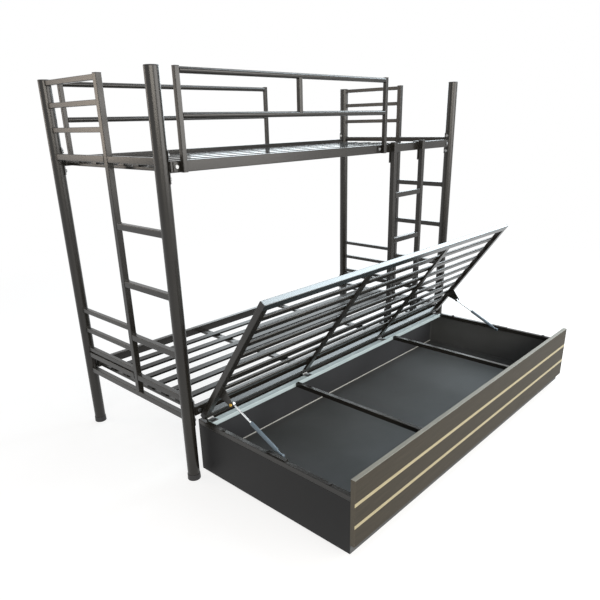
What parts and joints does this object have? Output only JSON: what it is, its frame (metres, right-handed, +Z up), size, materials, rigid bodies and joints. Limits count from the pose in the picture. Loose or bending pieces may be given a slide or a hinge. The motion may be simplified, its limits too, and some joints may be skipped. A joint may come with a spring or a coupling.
{
  "type": "bunk bed with storage",
  "caption": "Bunk bed of dark painted steel tube with slatted decks, guard rails, a hung ladder and a roll-out storage box with a slatted lid on gas struts.",
  "frame": {"origin": "on the floor at mid length, on the line through the axes of the two front posts, which is also the centre of the whole footprint with the box pulled out", "axes": "+X along the bed towards the end where the ladder hangs, -Y to the front where the storage box stands, +Z up"},
  "size_m": [2.0356, 1.6324, 1.59],
  "materials": {
    "frame_paint": "satin",
    "box_paint": "gloss",
    "black_plastic": "matte",
    "zinc_steel": "satin",
    "board": "satin",
    "stripe": "satin",
    "rubber": "matte",
    "wheel_plastic": "satin",
    "strut_black": "gloss",
    "strut_chrome": "polished",
    "golden_steel": "satin"
  },
  "bodies": {
    "bed": {"foot_glides": "black_plastic", "post_caps": "black_plastic", "posts": "frame_paint", "mid_stiles": "frame_paint", "upper_end_rails": "frame_paint", "lower_end_rails": "frame_paint", "bottom_crossbars": "frame_paint", "upper_end_guards": "frame_paint", "lower_end_guards": "frame_paint", "end_rungs": "frame_paint", "saddle_brackets": "frame_paint", "rail_tongues": "frame_paint", "upper_side_rails": "frame_paint", "lower_side_rails": "frame_paint", "frame_bolts": "zinc_steel", "deck_cross_bars": "frame_paint", "upper_slats": "frame_paint", "lower_slats": "frame_paint", "front_guard": "frame_paint", "rear_guard": "frame_paint", "tube_caps": "black_plastic", "guard_foot_plates": "frame_paint"},
    "ladder": {"ladder_stiles": "frame_paint", "ladder_rungs": "frame_paint", "ladder_caps": "black_plastic", "ladder_hooks": "frame_paint"},
    "storage_box": {"box_side_panels": "box_paint", "box_front_panel": "box_paint", "box_rear_panel": "box_paint", "box_side_rims": "frame_paint", "box_rim_caps": "black_plastic", "box_long_rims": "frame_paint", "box_cross_tubes": "frame_paint", "box_floor": "box_paint", "box_floor_bearers": "frame_paint", "front_board": "board", "board_stripes": "stripe", "board_screws": "zinc_steel", "lid_buffers": "rubber", "castor_forks": "zinc_steel", "castor_axles": "zinc_steel", "hinge_box_leaves": "zinc_steel", "hinge_pins": "zinc_steel", "strut_foot_brackets": "frame_paint"},
    "lid": {"lid_long_rails": "frame_paint", "lid_caps": "black_plastic", "lid_end_rails": "frame_paint", "lid_cross_bars": "frame_paint", "lid_slats": "frame_paint", "hinge_lid_leaves": "zinc_steel", "strut_top_brackets": "frame_paint", "strut_top_bolts": "golden_steel"},
    "left_cylinder": {"left_strut_cylinder": "strut_black"},
    "left_rod": {"left_strut_rod": "strut_chrome"},
    "right_cylinder": {"right_strut_cylinder": "strut_black"},
    "right_rod": {"right_strut_rod": "strut_chrome"},
    "front_left_castor_wheel": {"front_left_wheel": "wheel_plastic"},
    "rear_left_castor_wheel": {"rear_left_wheel": "wheel_plastic"},
    "front_right_castor_wheel": {"front_right_wheel": "wheel_plastic"},
    "rear_right_castor_wheel": {"rear_right_wheel": "wheel_plastic"}
  },
  "joints": [
    {"name": "ladder_lift", "type": "slide", "parent": "bed", "child": "ladder", "axis": [0, 0, 1], "range_m": [0, 0.06]},
    {"name": "box_roll", "type": "slide", "parent": "bed", "child": "storage_box", "axis": [0, -1, 0], "range_m": [0, 0.3]},
    {"name": "lid_hinge", "type": "hinge", "parent": "storage_box", "child": "lid", "pos_m": [0, -0.0242, 0.259], "axis": [1, 0, 0], "range_deg": [0, 55]},
    {"name": "left_strut_turn", "type": "hinge", "parent": "storage_box", "child": "left_cylinder", "pos_m": [-0.893, -0.4432, 0.243], "axis": [1, 0, 0], "range_deg": [-37, 0]},
    {"name": "left_rod_slide", "type": "slide", "parent": "left_cylinder", "child": "left_rod", "axis": [0, 0.9005, 0.4348], "range_m": [-0.054, 0]},
    {"name": "right_strut_turn", "type": "hinge", "parent": "storage_box", "child": "right_cylinder", "pos_m": [0.893, -0.4432, 0.243], "axis": [1, 0, 0], "range_deg": [-37, 0]},
    {"name": "right_rod_slide", "type": "slide", "parent": "right_cylinder", "child": "right_rod", "axis": [0, 0.9005, 0.4348], "range_m": [-0.054, 0]},
    {"name": "front_left_wheel_spin", "type": "hinge", "parent": "storage_box", "child": "front_left_castor_wheel", "pos_m": [-0.889, -0.7532, 0.02], "axis": [1, 0, 0], "continuous": true},
    {"name": "rear_left_wheel_spin", "type": "hinge", "parent": "storage_box", "child": "rear_left_castor_wheel", "pos_m": [-0.889, -0.036, 0.02], "axis": [1, 0, 0], "continuous": true},
    {"name": "front_right_wheel_spin", "type": "hinge", "parent": "storage_box", "child": "front_right_castor_wheel", "pos_m": [0.889, -0.7532, 0.02], "axis": [1, 0, 0], "continuous": true},
    {"name": "rear_right_wheel_spin", "type": "hinge", "parent": "storage_box", "child": "rear_right_castor_wheel", "pos_m": [0.889, -0.036, 0.02], "axis": [1, 0, 0], "continuous": true}
  ],
  "couplings": [
    {"joint": "left_strut_turn", "follows": "lid_hinge", "ratio": -0.65722},
    {"joint": "left_rod_slide", "follows": "lid_hinge", "m_per_rad": -0.055379},
    {"joint": "right_strut_turn", "follows": "lid_hinge", "ratio": -0.65722},
    {"joint": "right_rod_slide", "follows": "lid_hinge", "m_per_rad": -0.055379}
  ]
}
